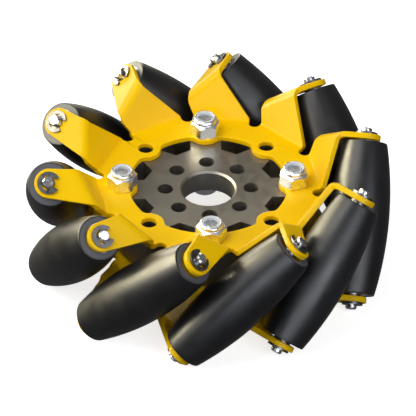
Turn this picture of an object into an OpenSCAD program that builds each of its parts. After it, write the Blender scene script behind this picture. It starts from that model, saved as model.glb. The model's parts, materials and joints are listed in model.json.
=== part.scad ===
// Mecanum wheel: two bent sheet-metal side plates bolted to an aluminium hub carry
// ten rubber rollers, each free to turn on its own pin set at 45 degrees to the wheel.
// Origin: centre of the wheel, halfway through its width.
// +Z runs along the wheel's axis towards the nut side; +X passes through one bolt.

/* [Wheel] */
// Rolling diameter over the rollers
wheel_d = 96; // [95:0.5:98]
// Distance from the centre to the outer face of a flap, along a roller's pin
flap_s = 22.3; // [22.2:0.1:22.6]

/* [Rollers] */
// Largest diameter of a roller, at its middle
roller_d = 16; // [15.6:0.1:16]
// Half of a roller's length
roller_hl = 20.2; // [19.8:0.1:20.3]
// Radius of the rubber's end edge
tyre_edge = 0.3; // [0.2:0.05:0.4]
// Outside radius of the moulded core
core_r = 4.7; // [4.5:0.1:4.8]
// Radius of the core's end flange
core_flange_r = 5.45; // [5.2:0.05:5.5]

/* [Pins and clips] */
// Diameter of a roller's pin
pin_d = 3; // [3:0.1:3]
// Half of a pin's length
pin_hl = 24.1; // [23.9:0.1:24.6]
// Outside diameter of a retaining clip
clip_d = 6; // [5.4:0.1:6.2]
// Thickness of a retaining clip
clip_t = 0.6; // [0.5:0.05:0.7]

/* [Bearings] */
// Outside diameter of a shielded roller bearing
brg_d = 8; // [7.6:0.1:8]
// Width of a shielded roller bearing
brg_w = 4; // [3:0.5:4]

/* [Side plates] */
// Sheet thickness
sheet = 1.5; // [1.4:0.1:1.6]
// Inside radius of every bend
bend_r = 1; // [0.8:0.1:1.2]
// Distance from the centre to a tab's first fold
fold_r = 28.5; // [28.3:0.1:28.6]
// Angle by which a tab rises from the ring
lift = 60; // [59:1:61]
// Half of a tab's width at its root
root_hw = 7.35; // [7:0.05:7.4]
// Radius of a flap's round end
flap_r = 3.9; // [3.8:0.1:4.2]
// Radius of the ring's inner edge
ring_ir = 20.9; // [20.7:0.1:21.1]
// Radius of a lobe round a ring hole
lobe_r = 4; // [3.8:0.1:4.1]
// Radius of the fillet beside a lobe
lobe_fillet = 2; // [1.5:0.1:2.2]
// Radius of the relief notch between two tabs
notch_r = 1.5; // [1.4:0.1:1.6]
// Distance from the centre to the bottom of a notch
notch_in = 27.7; // [27.5:0.1:27.8]

/* [Hub] */
// Hub thickness, between the two plates
hub_t = 12; // [11:0.5:12]
// Hub outside radius
hub_r = 26.4; // [26:0.1:26.8]
// Bore diameter
bore_d = 14; // [14:0.1:14]
// Thickness of the web round the bore
web_t = 6; // [5.5:0.1:6.5]
// Radius of the pocket in the rear face
pocket_r = 15; // [14.6:0.1:15.2]
// Side of the inner square hole pattern
inner_sq = 16; // [16:1:16]
// Side of the outer square hole pattern
outer_sq = 32; // [32:1:32]
// Hole diameter of both patterns
hole_d = 4.1; // [4:0.05:4.3]
// Width across flats of a lightening window
win_af = 7.9; // [7.6:0.1:8]

/* [Fasteners] */
// Bolt diameter
bolt_d = 3.96; // [3.9:0.02:3.98]
// Bolt length under the head
bolt_len = 19.6; // [19.5:0.1:20.5]
// Bolt head diameter
head_d = 7; // [6.8:0.1:7]
// Nut width across flats
nut_af = 7; // [6.9:0.1:7]
// Nut height with its collar
nut_h = 5; // [4.8:0.1:5]

/* [Hidden] */
$fn = 96;

yellow = [1.0, 0.75, 0.02];
anodised = [0.30, 0.29, 0.28];
zinc = [0.80, 0.82, 0.84];
black = [0.08, 0.08, 0.09];
grey = [0.24, 0.25, 0.28];
steel = [0.62, 0.62, 0.64];

// The hand of the wheel and the number of rollers are fixed by the plates.
roller_n = 10;
pitch = 360 / roller_n;
first = -45;                        // direction of the first roller's middle
tilt = 45;                          // a roller's pin against the wheel's axis
rc = wheel_d / 2 - roller_d / 2;    // wheel axis to a roller's middle
z_in = hub_t / 2;                   // ring's inner face
z_out = z_in + sheet;               // ring's outer face
inner_pr = inner_sq / sqrt(2);
outer_pr = outer_sq / sqrt(2);
eps = 0.01;

function unit(v) = v / norm(v);
// Matrix that carries X, Y, Z and the origin to x, y, z and o.
function place(x, y, z, o) = [[x[0], y[0], z[0], o[0]], [x[1], y[1], z[1], o[1]],
    [x[2], y[2], z[2], o[2]], [0, 0, 0, 1]];

module ring_of(n, a0 = 0) for (i = [0:n - 1]) rotate([0, 0, a0 + 360 / n * i]) children();
// Carries children to the front or rear side of the wheel.
module rear_side() rotate(a = 180, v = [cos(first), sin(first), 0]) children();
// The frame of roller k: X outwards, Z along the pin towards the nut side.
module at_roller(k) rotate([0, 0, first + pitch * k]) translate([rc, 0, 0]) rotate([-tilt, 0, 0]) children();

// ---- directions in a tab's own frame: X outwards through its roller's middle ----
ax_r = [1, 0, 0];
ax_d = [0, sin(tilt), cos(tilt)];
ax_w = [0, cos(tilt), -sin(tilt)];
ax_z = [0, 0, 1];
tab_m = [cos(pitch / 2), sin(pitch / 2), 0];
tab_e = [-sin(pitch / 2), cos(pitch / 2), 0];
web_v = cos(lift) * tab_m + sin(lift) * ax_z;       // up the sloping web
web_n = -sin(lift) * tab_m + cos(lift) * ax_z;      // its front normal
hair = 0.002;                       // keeps a tab's root inside the ring's own faces
tab_t = sheet - 2 * hair;
tab_z = z_out - hair;
web_o = fold_r * tab_m + tab_z * ax_z;              // its first fold, front surface
// Point of the second fold line whose width coordinate is wv.
a11 = tab_e * ax_d; a12 = web_v * ax_d; a21 = tab_e * ax_w; a22 = web_v * ax_w;
function fold2(wv) = let (b1 = flap_s - web_o * ax_d, b2 = wv - web_o * ax_w, det = a11 * a22 - a12 * a21)
    web_o + (b1 * a22 - a12 * b2) / det * tab_e + (a11 * b2 - a21 * b1) / det * web_v;
k1 = fold2(-4.2);
k2 = fold2(4.9);
fold_dir = unit(k2 - k1);
q0 = cross(fold_dir, web_n);
web_q = q0 * web_v > 0 ? q0 : -q0;                  // across the fold, in the web
b0 = cross(fold_dir, ax_d);
flap_b = b0 * ax_r > 0 ? b0 : -b0;                  // across the fold, in the flap
turn2 = acos(web_n * ax_d);
set1 = bend_r * tan(lift / 2);
set2 = (bend_r + tab_t) * tan(turn2 / 2);
function web_vu(p) = [(p - web_o) * web_v, (p - web_o) * tab_e];
function flap_rw(p) = [p * ax_r - rc, p * ax_w];
bend2_y = unit(ax_d - cos(turn2) * web_n);
bend2_r = bend_r + tab_t;                           // the second bend's outside is in front

// A tab is one sheet, described by rungs that run across it from its root to its tip.
// Each rung is [left point, right point, front normal], with both points on the front surface.
bend1_steps = 5;
bend2_steps = 7;
tip_steps = [0, 0.13, 0.27, 0.41, 0.55, 0.68, 0.8, 0.9, 0.97];
function root_rung(back) = [for (u = [-root_hw, root_hw]) (fold_r - set1 - back) * tab_m + u * tab_e + tab_z * ax_z];
function bend1_rung(a) = let (n = -sin(a) * tab_m + cos(a) * ax_z)
    [for (u = [-root_hw, root_hw]) (fold_r - set1) * tab_m + u * tab_e + (tab_z + bend_r) * ax_z - bend_r * n];
function bend2_rung(a) = let (n = cos(a) * web_n + sin(a) * bend2_y)
    [for (e = [[k1, -1], [k2, 1]]) e[0] - set2 * web_q - bend2_r * web_n + bend2_r * n
        + fold_dir * (web_shift(e[0], e[1]) * (turn2 - a) + flap_shift(e[0], e[1]) * a) / turn2];
function flap_point(r, w) = r * ax_r + w * ax_w + flap_s * ax_d;
function with_normal(pair, n) = [pair[0], pair[1], n];
// A flap's straight side runs from the fold's end p to the round end; tip_a(p, 0) is where it meets it.
function tip_a(p, i) = let (q = flap_rw(p), a0 = acos(flap_r / norm(q)) - atan2(-q[0], abs(q[1]))) a0 + (90 - a0) * i;
function tip_point(p, i, side) = flap_point(rc + flap_r * sin(tip_a(p, i)), side * flap_r * cos(tip_a(p, i)));
// How far the two ends of the second bend shift along it, so that the sheet's sides stay straight.
function flap_shift(p, side) = let (d = tip_point(p, 0, side) - p) set2 / (d * flap_b) * (d * fold_dir);
function web_shift(p, side) = let (d = web_o + side * root_hw * tab_e + set1 * web_v - p) -set2 / (d * web_q) * (d * fold_dir);
rungs = concat(
    [with_normal(root_rung(2.2), ax_z)],
    [for (i = [0:bend1_steps]) let (a = lift * i / bend1_steps) with_normal(bend1_rung(a), -sin(a) * tab_m + cos(a) * ax_z)],
    [for (i = [0:bend2_steps]) let (a = turn2 * i / bend2_steps) with_normal(bend2_rung(a), cos(a) * web_n + sin(a) * bend2_y)],
    [for (i = tip_steps) [tip_point(k1, i, -1), tip_point(k2, i, 1), ax_d]]);
rung_n = len(rungs);

// Faces of the sheet: front, back, and its two long sides, then the root and the tip.
function tab_faces() = concat(
    [for (i = [0:rung_n - 2]) for (f = [[0, 1, 5], [0, 5, 4], [3, 2, 6], [3, 6, 7], [2, 0, 4], [2, 4, 6], [1, 3, 7], [1, 7, 5]])
        [for (j = f) 4 * i + j]],
    [[0, 2, 3], [0, 3, 1]],
    [for (f = [[0, 1, 3], [0, 3, 2]]) [for (j = f) 4 * (rung_n - 1) + j]]);
module tab() polyhedron(points = [for (g = rungs) each [g[0], g[1], g[0] - tab_t * g[2], g[1] - tab_t * g[2]]],
    faces = tab_faces(), convexity = 6);

// Fillet between a lobe on +X and the ring's inner edge, on the +Y side.
module lobe_corner() {
    a = ring_ir - lobe_fillet + 0.02;
    f = acos((a * a + outer_pr * outer_pr - pow(lobe_r + lobe_fillet - 0.02, 2)) / (2 * a * outer_pr));
    difference() {
        polygon([a * [cos(f), sin(f)], (ring_ir + 0.3) * [cos(f), sin(f)], [outer_pr, 0]]);
        translate(a * [cos(f), sin(f)]) circle(r = lobe_fillet);
    }
}

module ring_flat() difference() {
    union() {
        difference() {
            rotate([0, 0, first]) circle(r = (fold_r - set1 - 0.1) / cos(pitch / 2), $fn = roller_n);
            circle(r = ring_ir);
        }
        ring_of(8) { translate([outer_pr, 0]) circle(r = lobe_r); lobe_corner(); mirror([0, 1]) lobe_corner(); }
    }
    ring_of(8) translate([outer_pr, 0]) circle(d = hole_d);
}

module side_plate() color(yellow) difference() {
    union() {
        translate([0, 0, z_in]) linear_extrude(sheet) ring_flat();
        ring_of(roller_n, first) tab();
    }
    ring_of(roller_n, first) {
        translate([notch_in + notch_r, 0, z_in - 1]) cylinder(r = notch_r, h = sheet + 1.3);
        translate([rc, 0, 0]) rotate([-tilt, 0, 0]) translate([0, 0, flap_s - sheet - 1])
            cylinder(d = pin_d + 0.1, h = sheet + 2);
    }
}

module front_plate() side_plate();
module rear_plate() rear_side() side_plate();

module hub() color(anodised) difference() {
    rotate_extrude() polygon([[bore_d / 2, z_in - 0.5], [bore_d / 2 + 0.5, z_in], [hub_r - 0.5, z_in], [hub_r, z_in - 0.5],
        [hub_r, 0.5 - z_in], [hub_r - 0.5, -z_in], [pocket_r + 0.4, -z_in], [pocket_r, 0.4 - z_in],
        [pocket_r, z_in - web_t], [bore_d / 2, z_in - web_t]]);
    ring_of(8) {
        translate([inner_pr, 0, -z_in]) cylinder(d = hole_d, h = hub_t + 1);
        translate([outer_pr, 0, -z_in - 1]) cylinder(d = hole_d, h = hub_t + 2);
    }
    ring_of(4) for (s = [-1, 1]) translate([19, 8 * s, -z_in - 1])
        cylinder(r = win_af / sqrt(3), h = hub_t + 2, $fn = 6);
}

module bolts() color(zinc) ring_of(4) translate([outer_pr, 0, -z_out]) difference() {
    rotate_extrude() polygon([[0, -4], [head_d / 2 - 0.35, -4], [head_d / 2, -3.65], [head_d / 2, -0.15],
        [head_d / 2 - 0.15, 0], [bolt_d / 2, 0], [bolt_d / 2, bolt_len - 0.6], [bolt_d / 2 - 0.5, bolt_len - 0.1], [0, bolt_len - 0.1]]);
    translate([0, 0, -4 - eps]) cylinder(r = 3 / sqrt(3), h = 2.2, $fn = 6);
}

nut_turn = [18, 40, 8, 26];
module nuts() color(zinc) for (i = [0:3]) rotate([0, 0, 90 * i]) translate([outer_pr, 0, z_out]) rotate([0, 0, nut_turn[i]])
    difference() {
        union() {
            intersection() {
                cylinder(r = nut_af / sqrt(3), h = nut_h - 1.2, $fn = 6);
                rotate_extrude() polygon([[0, 0], [nut_af / 2 - 0.1, 0], [nut_af / sqrt(3) + 0.1, 0.5],
                    [nut_af / sqrt(3) + 0.1, nut_h - 1.9], [nut_af / 2 - 0.3, nut_h - 1.2], [0, nut_h - 1.2]]);
            }
            rotate_extrude() polygon([[0, nut_h - 1.6], [3.1, nut_h - 1.6], [3.1, nut_h - 0.5], [2.95, nut_h - 0.2],
                [2.7, nut_h], [0, nut_h]]);
        }
        translate([0, 0, -1]) cylinder(d = bolt_d + 0.04, h = nut_h + 2);
        translate([0, 0, nut_h - 1.5]) cylinder(r = 2.5, h = 2);
    }

module nut_inserts() color([0.85, 0.87, 0.9]) ring_of(4) translate([outer_pr, 0, z_out + nut_h - 1.5])
    difference() { cylinder(r = 2.5, h = 1.35); translate([0, 0, -1]) cylinder(d = bolt_d + 0.02, h = 4); }

// ---- what stays still at each roller ----
groove_r = pin_d / 2 - 0.35;
module axle_pins() color(steel) for (k = [0:roller_n - 1]) at_roller(k) rotate_extrude()
    polygon([[0, -pin_hl], [pin_d / 2 - 0.3, -pin_hl], [pin_d / 2, 0.3 - pin_hl], [pin_d / 2, -flap_s - clip_t - 0.05],
        [groove_r, -flap_s - clip_t - 0.05], [groove_r, -flap_s], [pin_d / 2, -flap_s], [pin_d / 2, flap_s], [groove_r, flap_s],
        [groove_r, flap_s + clip_t + 0.05], [pin_d / 2, flap_s + clip_t + 0.05], [pin_d / 2, pin_hl - 0.3],
        [pin_d / 2 - 0.3, pin_hl], [0, pin_hl]]);

// Open retaining clip with three inward prongs, its mouth towards -X.
module clip() linear_extrude(clip_t) difference() {
    union() {
        difference() { circle(d = clip_d); circle(r = clip_d / 2 - 0.95); }
        for (a = [0, 105, -105]) rotate([0, 0, a]) translate([groove_r - 0.1, -0.75]) square([clip_d / 2 - groove_r - 0.2, 1.5]);
    }
    circle(r = groove_r + 0.02);
    polygon([[0, 0], 6 * [cos(148), sin(148)], [-8, 0], 6 * [cos(148), -sin(148)]]);
}
module clips() color([0.35, 0.35, 0.37]) for (k = [0:roller_n - 1]) at_roller(k) translate([0, 0, flap_s + 0.02]) clip();
module front_clips() clips();
module rear_clips() rear_side() clips();

// Shims keep the roller's ends off the flaps.
module shims() color(steel) for (k = [0:roller_n - 1]) at_roller(k) translate([0, 0, roller_hl])
    difference() { cylinder(r = 2.4, h = flap_s - sheet - roller_hl); translate([0, 0, -1]) cylinder(d = pin_d + 0.04, h = 4); }
module front_shims() shims();
module rear_shims() rear_side() shims();

module bearing_inner_rings() color(steel) for (k = [0:roller_n - 1], s = [-1, 1]) at_roller(k)
    translate([0, 0, s * (roller_hl - brg_w / 2)]) difference() {
        cylinder(r = 2.4, h = brg_w, center = true);
        cylinder(d = pin_d + 0.02, h = brg_w + 1, center = true);
    }

// ---- what turns with each roller ----
crown = 94;   // radius of the crowned rubber surface, which gives a round wheel
module tyre_profile() {
    fc = roller_hl - tyre_edge;
    fx = roller_d / 2 - crown + sqrt(pow(crown - tyre_edge, 2) - fc * fc);
    intersection() {
        translate([roller_d / 2 - crown, 0]) circle(r = crown, $fn = 360);
        translate([core_r, -fc * crown / (crown - tyre_edge)]) square([10, 2 * fc * crown / (crown - tyre_edge)]);
    }
    translate([core_r, -roller_hl]) square([fx - core_r, 2 * roller_hl]);
    for (s = [-1, 1]) translate([fx, s * fc]) circle(r = tyre_edge);
}
module tyre(k) color(black) at_roller(k) rotate_extrude() difference() {
    tyre_profile();
    for (s = [-1, 1]) translate([0, s * roller_hl]) square([2 * core_flange_r, 2.4], center = true);
}

core_ir = 2.7;   // its bore clears the inner rings, and its shoulders touch only the outer rings
module core(k) color(grey) at_roller(k) difference() {
    rotate_extrude() polygon([[core_ir, brg_w - roller_hl], [brg_d / 2, brg_w - roller_hl], [brg_d / 2, -roller_hl],
        [core_flange_r, -roller_hl], [core_flange_r, 1.2 - roller_hl], [core_r, 1.2 - roller_hl],
        [core_r, roller_hl - 1.2], [core_flange_r, roller_hl - 1.2], [core_flange_r, roller_hl], [brg_d / 2, roller_hl],
        [brg_d / 2, roller_hl - brg_w], [core_ir, roller_hl - brg_w]]);
}

module bearings(k) color(steel) at_roller(k) for (s = [-1, 1]) translate([0, 0, s * (roller_hl - brg_w / 2)])
    difference() {
        cylinder(d = brg_d, h = brg_w - 0.1, center = true);
        cylinder(r = 2.47, h = brg_w + 1, center = true);
    }

hub();
front_plate();
rear_plate();
bolts();
nuts();
nut_inserts();
axle_pins();
front_clips();
rear_clips();
front_shims();
rear_shims();
bearing_inner_rings();
tyre(0);  // tyre_01
tyre(1);  // tyre_02
tyre(2);  // tyre_03
tyre(3);  // tyre_04
tyre(4);  // tyre_05
tyre(5);  // tyre_06
tyre(6);  // tyre_07
tyre(7);  // tyre_08
tyre(8);  // tyre_09
tyre(9);  // tyre_10
core(0);  // core_01
core(1);  // core_02
core(2);  // core_03
core(3);  // core_04
core(4);  // core_05
core(5);  // core_06
core(6);  // core_07
core(7);  // core_08
core(8);  // core_09
core(9);  // core_10
bearings(0);  // bearings_01
bearings(1);  // bearings_02
bearings(2);  // bearings_03
bearings(3);  // bearings_04
bearings(4);  // bearings_05
bearings(5);  // bearings_06
bearings(6);  // bearings_07
bearings(7);  // bearings_08
bearings(8);  // bearings_09
bearings(9);  // bearings_10
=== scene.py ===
"""Mecanum wheel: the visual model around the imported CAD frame. Metres, +Z along the wheel's axis."""
import bpy, bmesh, json, math
from mathutils import Vector, Matrix
from mathutils.geometry import delaunay_2d_cdt


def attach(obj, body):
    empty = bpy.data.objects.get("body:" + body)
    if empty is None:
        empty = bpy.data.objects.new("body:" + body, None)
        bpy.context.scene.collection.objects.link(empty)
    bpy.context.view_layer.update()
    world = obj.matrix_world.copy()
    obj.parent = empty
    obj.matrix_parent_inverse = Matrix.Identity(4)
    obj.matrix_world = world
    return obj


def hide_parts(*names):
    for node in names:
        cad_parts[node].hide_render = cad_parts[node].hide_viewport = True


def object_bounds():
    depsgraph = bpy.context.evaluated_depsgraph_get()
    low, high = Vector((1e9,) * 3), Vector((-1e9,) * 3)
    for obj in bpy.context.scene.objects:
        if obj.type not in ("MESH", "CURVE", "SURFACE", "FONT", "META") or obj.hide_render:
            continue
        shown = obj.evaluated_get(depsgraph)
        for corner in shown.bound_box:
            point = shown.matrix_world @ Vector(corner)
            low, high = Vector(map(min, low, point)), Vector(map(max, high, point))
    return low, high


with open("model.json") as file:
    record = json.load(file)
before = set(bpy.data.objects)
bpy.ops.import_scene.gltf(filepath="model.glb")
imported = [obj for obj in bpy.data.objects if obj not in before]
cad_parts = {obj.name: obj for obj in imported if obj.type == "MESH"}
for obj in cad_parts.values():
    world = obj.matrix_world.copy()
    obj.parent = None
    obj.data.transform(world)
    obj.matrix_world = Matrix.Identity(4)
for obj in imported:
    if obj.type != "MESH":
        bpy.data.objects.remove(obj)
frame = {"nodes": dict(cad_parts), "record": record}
cad_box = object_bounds()
NODES = frame["nodes"]
MM = 0.001
PITCH, FIRST, N = 36.0, -45.0, 10


def rad(a):
    return math.radians(a)


def cosd(a):
    return math.cos(rad(a))


def sind(a):
    return math.sin(rad(a))


# ------------------------------------------------------------------ materials
class Mat:
    """A Principled material with helpers for procedural colour, roughness and bump."""

    def __init__(self, name, **sockets):
        self.m = bpy.data.materials.new(name)
        self.m.use_nodes = True
        self.t = self.m.node_tree
        self.n = self.t.nodes
        self.l = self.t.links
        self.b = self.n["Principled BSDF"]
        for k, v in sockets.items():
            self.set(k.replace("_", " "), v)
        self.coord = self.n.new("ShaderNodeTexCoord").outputs["Object"]
        self.height = None

    def set(self, socket, value):
        self.b.inputs[socket].default_value = value

    def stretch(self, scale):
        m = self.n.new("ShaderNodeMapping")
        m.inputs["Scale"].default_value = scale
        self.l.new(self.coord, m.inputs["Vector"])
        return m.outputs["Vector"]

    def noise(self, scale, detail=2.0, rough=0.5, vector=None, distortion=0.0):
        n = self.n.new("ShaderNodeTexNoise")
        n.inputs["Scale"].default_value = scale
        n.inputs["Detail"].default_value = detail
        n.inputs["Roughness"].default_value = rough
        n.inputs["Distortion"].default_value = distortion
        self.l.new(vector or self.coord, n.inputs["Vector"])
        return n.outputs["Fac"]

    def voronoi(self, scale, feature="F1", vector=None):
        n = self.n.new("ShaderNodeTexVoronoi")
        n.feature = feature
        n.inputs["Scale"].default_value = scale
        self.l.new(vector or self.coord, n.inputs["Vector"])
        return n.outputs["Distance"]

    def ramp(self, fac, stops):
        r = self.n.new("ShaderNodeValToRGB")
        r.color_ramp.elements[0].position, r.color_ramp.elements[0].color = stops[0][0], stops[0][1]
        r.color_ramp.elements[1].position, r.color_ramp.elements[1].color = stops[-1][0], stops[-1][1]
        for p, c in stops[1:-1]:
            e = r.color_ramp.elements.new(p)
            e.color = c
        self.l.new(fac, r.inputs["Fac"])
        return r.outputs["Color"]

    def range(self, fac, lo, hi, a=0.35, b=0.65):
        r = self.n.new("ShaderNodeMapRange")
        r.inputs["From Min"].default_value = a
        r.inputs["From Max"].default_value = b
        r.inputs["To Min"].default_value = lo
        r.inputs["To Max"].default_value = hi
        self.l.new(fac, r.inputs["Value"])
        return r.outputs["Result"]

    def link(self, out, socket):
        self.l.new(out, self.b.inputs[socket])

    def bump(self, height, distance, strength=1.0):
        b = self.n.new("ShaderNodeBump")
        b.inputs["Strength"].default_value = strength
        b.inputs["Distance"].default_value = distance
        self.l.new(height, b.inputs["Height"])
        if self.height is not None:
            self.l.new(self.height, b.inputs["Normal"])
        self.height = b.outputs["Normal"]
        self.l.new(self.height, self.b.inputs["Normal"])

    def mix(self, fac, a, b):
        m = self.n.new("ShaderNodeMix")
        m.data_type = "RGBA"
        if isinstance(fac, float):
            m.inputs[0].default_value = fac
        else:
            self.l.new(fac, m.inputs[0])
        for s, v in ((6, a), (7, b)):
            if isinstance(v, tuple):
                m.inputs[s].default_value = v
            else:
                self.l.new(v, m.inputs[s])
        return m.outputs[2]

    def pointiness(self):
        return self.n.new("ShaderNodeNewGeometry").outputs["Pointiness"]


def powder_coat():
    m = Mat("yellow_powder_coat", Metallic=0.0, IOR=1.45)
    m.set("Specular IOR Level", 0.08)
    m.set("Coat Weight", 0.14)
    m.set("Coat Roughness", 0.09)
    m.set("Coat IOR", 1.42)
    base = m.ramp(m.noise(38, 3), [(0.3, (1.0, 0.615, 0.0, 1)), (0.7, (0.985, 0.59, 0.0, 1))])
    m.link(base, "Base Color")
    m.link(m.range(m.noise(240, 3), 0.34, 0.44), "Roughness")
    m.bump(m.noise(750, 2, 0.5), 0.00004, 0.10)       # orange peel
    m.bump(m.noise(3200, 2, 0.6), 0.000006, 0.12)     # fine grain of the powder
    return m.m


def rubber():
    m = Mat("black_rubber", Metallic=0.0, IOR=1.5)
    base = m.ramp(m.noise(70, 5, 0.6), [(0.35, (0.0055, 0.0055, 0.0065, 1)), (0.68, (0.011, 0.011, 0.0125, 1))])
    m.link(base, "Base Color")
    m.link(m.range(m.noise(160, 4, 0.6), 0.34, 0.44), "Roughness")
    m.bump(m.noise(1500, 3, 0.6), 0.00003, 0.30)
    m.bump(m.voronoi(2400), 0.00001, 0.25)
    return m.m


def anodised():
    m = Mat("anodised_aluminium", Metallic=1.0)
    base = m.ramp(m.noise(120, 4, 0.6), [(0.3, (0.265, 0.249, 0.222, 1)), (0.7, (0.305, 0.288, 0.26, 1))])
    m.link(base, "Base Color")
    m.link(m.range(m.noise(500, 3), 0.40, 0.52), "Roughness")
    m.bump(m.noise(2200, 3, 0.7), 0.00002, 0.35)
    return m.m


def zinc():
    m = Mat("zinc_plated_steel", Metallic=1.0)
    base = m.ramp(m.noise(380, 4, 0.6), [(0.3, (0.82, 0.84, 0.86, 1)), (0.7, (0.92, 0.935, 0.95, 1))])
    m.link(base, "Base Color")
    m.link(m.range(m.noise(900, 3), 0.24, 0.34), "Roughness")
    m.bump(m.noise(1200, 2, 0.5), 0.000002, 0.05)
    return m.m


def pin_steel():
    m = Mat("pin_steel", Metallic=1.0)
    base = m.ramp(m.noise(500, 3, 0.6), [(0.3, (0.55, 0.55, 0.56, 1)), (0.7, (0.72, 0.72, 0.72, 1))])
    m.link(base, "Base Color")
    m.link(m.range(m.noise(1500, 2), 0.16, 0.30), "Roughness")
    m.bump(m.noise(3000, 2, 0.6), 0.000004, 0.15)
    return m.m


def clip_steel():
    m = Mat("clip_steel", Metallic=1.0)
    base = m.ramp(m.noise(600, 3, 0.6), [(0.3, (0.10, 0.10, 0.105, 1)), (0.7, (0.17, 0.17, 0.175, 1))])
    m.link(base, "Base Color")
    m.link(m.range(m.noise(1200, 3), 0.26, 0.40), "Roughness")
    m.bump(m.noise(2600, 2, 0.6), 0.000008, 0.3)
    return m.m


def bearing_steel():
    m = Mat("bearing_steel", Metallic=1.0)
    base = m.ramp(m.noise(700, 2), [(0.3, (0.50, 0.51, 0.53, 1)), (0.7, (0.62, 0.63, 0.65, 1))])
    m.link(base, "Base Color")
    m.link(m.range(m.noise(1500, 2), 0.14, 0.24), "Roughness")
    return m.m


def core_plastic():
    m = Mat("grey_moulded_plastic", Metallic=0.0, IOR=1.48)
    base = m.ramp(m.noise(260, 3), [(0.3, (0.078, 0.083, 0.104, 1)), (0.7, (0.094, 0.099, 0.122, 1))])
    m.link(base, "Base Color")
    m.link(m.range(m.noise(700, 3), 0.36, 0.48), "Roughness")
    m.bump(m.noise(1900, 2), 0.00001, 0.3)
    return m.m


def nylon():
    m = Mat("nylon", Metallic=0.0, IOR=1.53)
    base = m.ramp(m.noise(500, 2), [(0.3, (0.60, 0.63, 0.67, 1)), (0.7, (0.70, 0.73, 0.76, 1))])
    m.link(base, "Base Color")
    m.link(m.range(m.noise(900, 2), 0.32, 0.42), "Roughness")
    return m.m


MATS = {
    "yellow_powder_coat": powder_coat(), "black_rubber": rubber(), "anodised_aluminium": anodised(),
    "zinc_plated_steel": zinc(), "pin_steel": pin_steel(), "clip_steel": clip_steel(),
    "bearing_steel": bearing_steel(), "grey_moulded_plastic": core_plastic(), "nylon": nylon(),
}
SLOT_OF = {s["node"]: s["material_slot"] for s in frame["record"]["subparts"]}


def paint(o, slot):
    o.data.materials.clear()
    o.data.materials.append(MATS[slot])


def smooth(o, angle=35):
    """Smooth faces with sharp edges above an angle, kept in the mesh itself."""
    me = o.data
    me.polygons.foreach_set("use_smooth", [True] * len(me.polygons))
    me.set_sharp_from_angle(angle=rad(angle))


def bevel(o, width, segments=2, angle=30):
    b = o.modifiers.new("edge", "BEVEL")
    b.width = width * MM
    b.segments = segments
    b.limit_method = "ANGLE"
    b.angle_limit = rad(angle)
    b.harden_normals = False
    b.miter_outer = "MITER_ARC"
    b.use_clamp_overlap = True
    return b


def flat_normals(o):
    """Keeps large flat faces flat next to smooth bends and rounded edges."""
    w = o.modifiers.new("flat_faces", "WEIGHTED_NORMAL")
    w.weight = 80
    w.keep_sharp = True


def new_object(name, bm, slot, body, angle=35):
    me = bpy.data.meshes.new(name)
    bm.normal_update()
    bm.to_mesh(me)
    bm.free()
    o = bpy.data.objects.new(name, me)
    bpy.context.scene.collection.objects.link(o)
    paint(o, slot)
    smooth(o, angle)
    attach(o, body)
    return o


# ------------------------------------------------------------------ frames shared with the CAD model
RC, FLAP_S, SHEET, BEND, FOLD_R, LIFT, FLAP_R = 40.0, 22.3, 1.5, 1.0, 28.5, 60.0, 3.9
Z_IN, Z_OUT = 6.0, 7.5
INNER_PR, OUTER_PR = 16 / math.sqrt(2), 32 / math.sqrt(2)
RING_IR, LOBE_R, LOBE_F, NOTCH_R, NOTCH_IN, HOLE_R = 20.9, 4.0, 2.0, 1.5, 27.7, 2.05


def roller_matrix(k):
    """Local X outwards, Z along the pin towards the nut side."""
    return (Matrix.Rotation(rad(FIRST + PITCH * k), 4, "Z") @ Matrix.Translation((RC, 0, 0))
            @ Matrix.Rotation(rad(-45), 4, "X"))


REAR = Matrix.Rotation(math.pi, 4, Vector((cosd(FIRST), sind(FIRST), 0)))

AX_R, AX_Z = Vector((1, 0, 0)), Vector((0, 0, 1))
AX_D, AX_W = Vector((0, sind(45), cosd(45))), Vector((0, cosd(45), -sind(45)))
TAB_M, TAB_E = Vector((cosd(18), sind(18), 0)), Vector((-sind(18), cosd(18), 0))
WEB_V = cosd(LIFT) * TAB_M + sind(LIFT) * AX_Z
WEB_N = -sind(LIFT) * TAB_M + cosd(LIFT) * AX_Z
WEB_O = FOLD_R * TAB_M + Z_OUT * AX_Z


def fold2(wv):
    a11, a12, a21, a22 = TAB_E.dot(AX_D), WEB_V.dot(AX_D), TAB_E.dot(AX_W), WEB_V.dot(AX_W)
    b1, b2 = FLAP_S - WEB_O.dot(AX_D), wv - WEB_O.dot(AX_W)
    det = a11 * a22 - a12 * a21
    return WEB_O + (b1 * a22 - a12 * b2) / det * TAB_E + (a11 * b2 - a21 * b1) / det * WEB_V


K1, K2 = fold2(-4.2), fold2(4.9)
FOLD_DIR = (K2 - K1).normalized()
WEB_Q = FOLD_DIR.cross(WEB_N)
WEB_Q = WEB_Q if WEB_Q.dot(WEB_V) > 0 else -WEB_Q
FLAP_B = FOLD_DIR.cross(AX_D)
FLAP_B = FLAP_B if FLAP_B.dot(AX_R) > 0 else -FLAP_B
TURN2 = math.degrees(math.acos(WEB_N.dot(AX_D)))
SET1 = BEND * math.tan(rad(LIFT / 2))
ROOT_M = FOLD_R - SET1
NOTCH_C = Vector((NOTCH_IN + NOTCH_R, 0))
ROOT_HW = NOTCH_C.x * sind(18) - math.sqrt(NOTCH_R ** 2 - (NOTCH_C.x * cosd(18) - ROOT_M) ** 2)
SET2 = (BEND + SHEET) * math.tan(rad(TURN2 / 2))
BEND2_Y = (AX_D - cosd(TURN2) * WEB_N).normalized()


def flap_point(r, w):
    return r * AX_R + w * AX_W + FLAP_S * AX_D


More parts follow.
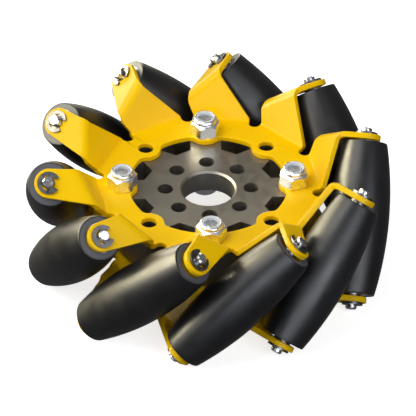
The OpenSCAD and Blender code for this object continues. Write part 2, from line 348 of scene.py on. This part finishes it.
def tip_angle(p):
    """Angle at which the straight side from the fold's end p meets the flap's round end."""
    x, w = p.dot(AX_R) - RC, abs(p.dot(AX_W))
    return math.degrees(math.acos(FLAP_R / math.hypot(x, w)) - math.atan2(-x, w))


def shifts(p, side):
    """How far the bend's end at p shifts along the fold, in the web and in the flap, so that the sides stay straight."""
    a = tip_angle(p)
    f = flap_point(RC + FLAP_R * sind(a), side * FLAP_R * cosd(a)) - p
    w = WEB_O + side * ROOT_HW * TAB_E + SET1 * WEB_V - p
    return -SET2 / w.dot(WEB_Q) * w.dot(FOLD_DIR), SET2 / f.dot(FLAP_B) * f.dot(FOLD_DIR)


def arc(c, r, a0, a1, n):
    return [Vector((c[0] + r * cosd(a0 + (a1 - a0) * i / n), c[1] + r * sind(a0 + (a1 - a0) * i / n))) for i in range(n + 1)]


def fill(bm, loops, to3d, flip=False):
    """Fills a flat region: the first loop is its outside, the others are holes."""
    pts, edges, spans = [], [], []
    for lp in loops:
        s = len(pts)
        pts += lp
        edges += [(s + i, s + (i + 1) % len(lp)) for i in range(len(lp))]
        spans.append((s, len(lp)))
    vs, _, faces, orig, _, _ = delaunay_2d_cdt(pts, edges, [], 0, 1e-7)

    def inside(p, lp):
        hit = False
        for i in range(len(lp)):
            a, b = lp[i], lp[(i + 1) % len(lp)]
            if (a.y > p.y) != (b.y > p.y) and p.x < (b.x - a.x) * (p.y - a.y) / (b.y - a.y) + a.x:
                hit = not hit
        return hit
    verts = [bm.verts.new(to3d(v)) for v in vs]
    for f in faces:
        c = sum((vs[i] for i in f), Vector((0, 0))) / len(f)
        if inside(c, loops[0]) and not any(inside(c, h) for h in loops[1:]):
            idx = list(f)
            area = sum(vs[idx[i]].x * vs[idx[(i + 1) % len(idx)]].y - vs[idx[(i + 1) % len(idx)]].x * vs[idx[i]].y for i in range(len(idx)))
            if (area < 0) != flip:
                idx.reverse()
            bm.faces.new([verts[i] for i in idx])
    for v in [v for v in verts if not v.link_faces]:
        bm.verts.remove(v)


def ring_loops():
    """Outside, inside and hole loops of the flat ring, seen from the front."""
    outer = []
    p0 = ROOT_M * Vector((cosd(18), -sind(18))) + ROOT_HW * Vector((sind(18), cosd(18)))
    d = p0 - NOTCH_C
    a0 = math.degrees(math.atan2(d.y, d.x)) % 360
    for k in range(N):
        rot = Matrix.Rotation(rad(FIRST + PITCH * k), 2)
        outer += [rot @ p for p in arc(NOTCH_C, NOTCH_R, a0, 360 - a0, 20)]
    inner = []
    a = RING_IR - LOBE_F
    f = math.degrees(math.acos((a * a + OUTER_PR ** 2 - (LOBE_R + LOBE_F) ** 2) / (2 * a * OUTER_PR)))
    cf = Vector((a * cosd(f), a * sind(f)))
    lc = Vector((OUTER_PR, 0))
    d = cf - lc
    al = math.degrees(math.atan2(d.y, d.x))                 # tangent direction seen from the lobe
    half = arc(lc, LOBE_R, 180, al, 10)
    af0 = al + 180
    half += arc(cf, LOBE_F, af0, f + 360, 8)[1:]
    half += arc((0, 0), RING_IR, f, 22.5, 5)[1:]
    for i in range(8):
        rot = Matrix.Rotation(rad(45 * i), 2)
        seq = [Vector((p.x, -p.y)) for p in reversed(half)][1:] + half[1:]
        inner += [rot @ p for p in seq]
    holes = [[Matrix.Rotation(rad(45 * i), 2) @ p for p in arc((OUTER_PR, 0), HOLE_R, 0, 360, 40)[:-1]] for i in range(8)]
    return outer, inner, holes


ENDS = [(K1, shifts(K1, -1)), (K2, shifts(K2, 1))]


def plate_mesh():
    """The plate as one folded sheet: its front surface, which a Solidify modifier backs with the sheet's thickness."""
    bm = bmesh.new()
    outer, inner, holes = ring_loops()
    fill(bm, [outer, inner] + holes, lambda p: Vector((p.x, p.y, Z_OUT)))
    for k in range(N):
        rot = Matrix.Rotation(rad(FIRST + PITCH * k), 3, "Z")
        rungs = []
        for i in range(11):
            a = LIFT * i / 10
            n = -sind(a) * TAB_M + cosd(a) * AX_Z
            c = (FOLD_R - SET1) * TAB_M + (Z_OUT + BEND) * AX_Z - BEND * n
            rungs.append((c - ROOT_HW * TAB_E, c + ROOT_HW * TAB_E))
        for i in range(13):
            a = TURN2 * i / 12
            n = cosd(a) * WEB_N + sind(a) * BEND2_Y
            rungs.append(tuple(p - SET2 * WEB_Q - (BEND + SHEET) * WEB_N + (BEND + SHEET) * n
                               + FOLD_DIR * (sw * (TURN2 - a) + sf * a) / TURN2 for p, (sw, sf) in ENDS))
        vs = [[bm.verts.new(rot @ p) for p in g] for g in rungs]
        for a, b in zip(vs, vs[1:]):
            bm.faces.new((a[0], a[1], b[1], b[0]))
        p1, p2 = (Vector((p.dot(AX_R), p.dot(AX_W))) for p in rungs[-1])
        edge = [p1] + arc((RC, 0), FLAP_R, tip_angle(K1) - 90, 90 - tip_angle(K2), 30) + [p2]
        fill(bm, [edge, arc((RC, 0), 1.55, 0, 360, 32)[:-1]], lambda p: rot @ flap_point(p.x, p.y))
    bmesh.ops.remove_doubles(bm, verts=bm.verts, dist=1e-4)
    bmesh.ops.recalc_face_normals(bm, faces=bm.faces)
    up = [f for f in bm.faces if abs(f.calc_center_median().z - Z_OUT) < 1e-4]
    if sum(f.normal.z * f.calc_area() for f in up) < 0:
        bmesh.ops.reverse_faces(bm, faces=bm.faces)
    return bm


def build_plate(name, rear):
    bm = plate_mesh()
    m = (REAR if rear else Matrix.Identity(4))
    bmesh.ops.transform(bm, matrix=Matrix.Scale(MM, 4) @ m, verts=bm.verts)
    o = new_object(name + "_sheet", bm, "yellow_powder_coat", "wheel_frame", 40)
    s = o.modifiers.new("thickness", "SOLIDIFY")
    s.thickness = SHEET * MM
    s.offset = -1
    s.use_even_offset = True
    b = bevel(o, 0.22, 3, 50)
    b.miter_outer = "MITER_SHARP"
    flat_normals(o)
    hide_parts(name)
    return o


# ------------------------------------------------------------------ rollers
def lathe(bm, profile, matrix, seg=96):
    """Closed solid of revolution about local Z from a closed profile of (radius, height)."""
    rings = []
    for r, z in profile:
        rings.append([bm.verts.new(matrix @ Vector((r * MM * cosd(360 * i / seg), r * MM * sind(360 * i / seg), z * MM))) for i in range(seg)])
    n = len(rings)
    for j in range(n):
        a, b = rings[j], rings[(j + 1) % n]
        for i in range(seg):
            i2 = (i + 1) % seg
            bm.faces.new((a[i], a[i2], b[i2], b[i]))


def tyre_profile():
    hl, edge, crown, rmax, core_r, fl = 20.2, 0.3, 94.0, 8.0, 4.7, 5.45
    fc = hl - edge
    fx = rmax - crown + math.sqrt((crown - edge) ** 2 - fc * fc)
    st = fc * crown / (crown - edge)
    half = []
    n = 26
    for i in range(n + 1):
        s = st * i / n
        half.append((rmax - crown + math.sqrt(crown ** 2 - s * s), s))
    a0 = math.degrees(math.asin(st / crown))
    for i in range(1, 9):
        a = a0 + (90 - a0) * i / 8
        half.append((fx + edge * cosd(a), fc + edge * sind(a)))
    half += [(fl + 0.05, hl), (fl, hl - 0.05), (fl, hl - 1.2), (core_r, hl - 1.2)]
    return [(r, -z) for r, z in reversed(half)] + half[1:]


def build_tyre(k):
    name = f"tyre_{k + 1:02d}"
    bm = bmesh.new()
    at = roller_matrix(k)
    lathe(bm, tyre_profile(), Matrix.Translation(at.translation * MM) @ at.to_3x3().to_4x4())
    bmesh.ops.recalc_face_normals(bm, faces=bm.faces)
    o = new_object(name + "_rubber", bm, "black_rubber", f"roller_{k + 1:02d}", 40)
    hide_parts(name)
    return o


build_plate("front_plate", False)
build_plate("rear_plate", True)
for k in range(N):
    build_tyre(k)

# ------------------------------------------------------------------ CAD nodes that keep their own shape
EDGE = {"hub": 0.12, "bolts": 0.08, "nuts": 0.10, "nut_inserts": 0.05, "axle_pins": 0.06, "front_clips": 0.07, "rear_clips": 0.07,
        "front_shims": 0.05, "rear_shims": 0.05, "bearing_inner_rings": 0.06}
for name, o in NODES.items():
    if o.hide_render:
        continue
    paint(o, SLOT_OF[name])
    smooth(o, 32)
    width = EDGE.get(name, 0.08)
    bevel(o, width, 2, 32)
    flat_normals(o)

# ------------------------------------------------------------------ stage
def area(name, loc, target, size, power, color=(1, 1, 1), size_y=None):
    l = bpy.data.lights.new(name, "AREA")
    l.energy, l.color = power, color
    l.size = size
    if size_y:
        l.shape, l.size_y = "RECTANGLE", size_y
    o = bpy.data.objects.new(name, l)
    o.location = loc
    o.rotation_euler = (Vector(target) - Vector(loc)).to_track_quat("-Z", "Y").to_euler()
    bpy.context.scene.collection.objects.link(o)
    return o


def floor():
    bm = bmesh.new()
    bmesh.ops.create_grid(bm, x_segments=1, y_segments=1, size=3.0)
    me = bpy.data.meshes.new("floor")
    bm.to_mesh(me)
    bm.free()
    o = bpy.data.objects.new("floor", me)
    o.location.z = cad_box[0][2] - 0.00002
    bpy.context.scene.collection.objects.link(o)
    m = Mat("floor_paper", Metallic=0.0)
    m.set("Base Color", (0.80, 0.80, 0.80, 1))
    m.set("Roughness", 0.9)
    m.set("Specular IOR Level", 0.0)
    m.set("Emission Color", (1, 1, 1, 1))
    m.set("Emission Strength", 0.76)
    me.materials.append(m.m)
    o.visible_glossy = False
    o.visible_diffuse = False


floor()
world = bpy.data.worlds.new("studio")
bpy.context.scene.world = world
world.use_nodes = True
wt = world.node_tree
bg = wt.nodes["Background"]
wc = wt.nodes.new("ShaderNodeTexCoord")
sep = wt.nodes.new("ShaderNodeSeparateXYZ")
wt.links.new(wc.outputs["Generated"], sep.inputs["Vector"])


def wmath(op, a, b):
    n = wt.nodes.new("ShaderNodeMath")
    n.operation = op
    for i, v in enumerate((a, b)):
        if isinstance(v, (int, float)):
            n.inputs[i].default_value = v
        else:
            wt.links.new(v, n.inputs[i])
    return n.outputs[0]


# dim studio in front and below, brighter above and behind
w = wmath("ADD", wmath("MULTIPLY", sep.outputs["Z"], 0.55), wmath("MULTIPLY", sep.outputs["Y"], 0.30))
wr = wt.nodes.new("ShaderNodeValToRGB")
wr.color_ramp.elements[0].position, wr.color_ramp.elements[0].color = 0.0, (0.11, 0.11, 0.115, 1)
wr.color_ramp.elements[1].position, wr.color_ramp.elements[1].color = 0.62, (0.24, 0.24, 0.24, 1)
wt.links.new(w, wr.inputs["Fac"])
wt.links.new(wr.outputs["Color"], bg.inputs["Color"])
bg.inputs["Strength"].default_value = 1.0
area("softbox_top", (-0.60, -0.15, 1.15), (0, 0, 0), 0.8, 9.8)
area("softbox_front", (0.75, -1.05, 0.75), (0, 0, 0), 1.1, 8.5, (0.95, 0.97, 1.0))
area("softbox_left", (-1.2, -0.3, 0.45), (0, 0, 0), 1.0, 6.5, (1.0, 0.98, 0.95))
# cards that only show in reflections: cream walls at the left and the back, a cooler one low in front
area("left_card", (-1.45, 0.40, 0.50), (0, 0, 0), 1.2, 66.0, (1.0, 0.90, 0.60), 0.65).visible_diffuse = False
area("back_card", (-0.5, 1.5, 0.20), (0, 0, 0), 2.2, 42.0, (1.0, 0.93, 0.70), 0.5).visible_diffuse = False
area("front_card", (0.05, -1.35, 0.42), (0, 0, 0), 1.5, 14.0, (0.86, 0.92, 1.0), 0.7).visible_diffuse = False

scene = bpy.context.scene
scene.view_settings.view_transform = "Standard"
scene.view_settings.look = "None"

cam = bpy.data.cameras.new("camera")
cam.lens = 509.9
cam.sensor_width = 36
cam.clip_start, cam.clip_end = 0.05, 20
cam_o = bpy.data.objects.new("camera", cam)
az, el, dist = -2.34, 38.0, 1.5557
back = Vector((sind(az) * cosd(el), -cosd(az) * cosd(el), sind(el)))
aim = Vector((0, 0, -0.0006))
rot = back.to_track_quat("Z", "Y").to_matrix() @ Matrix.Rotation(rad(0.49), 3, "Z")
cam_o.matrix_world = Matrix.Translation(aim + back * dist) @ rot.to_4x4()
scene.collection.objects.link(cam_o)
scene.camera = cam_o
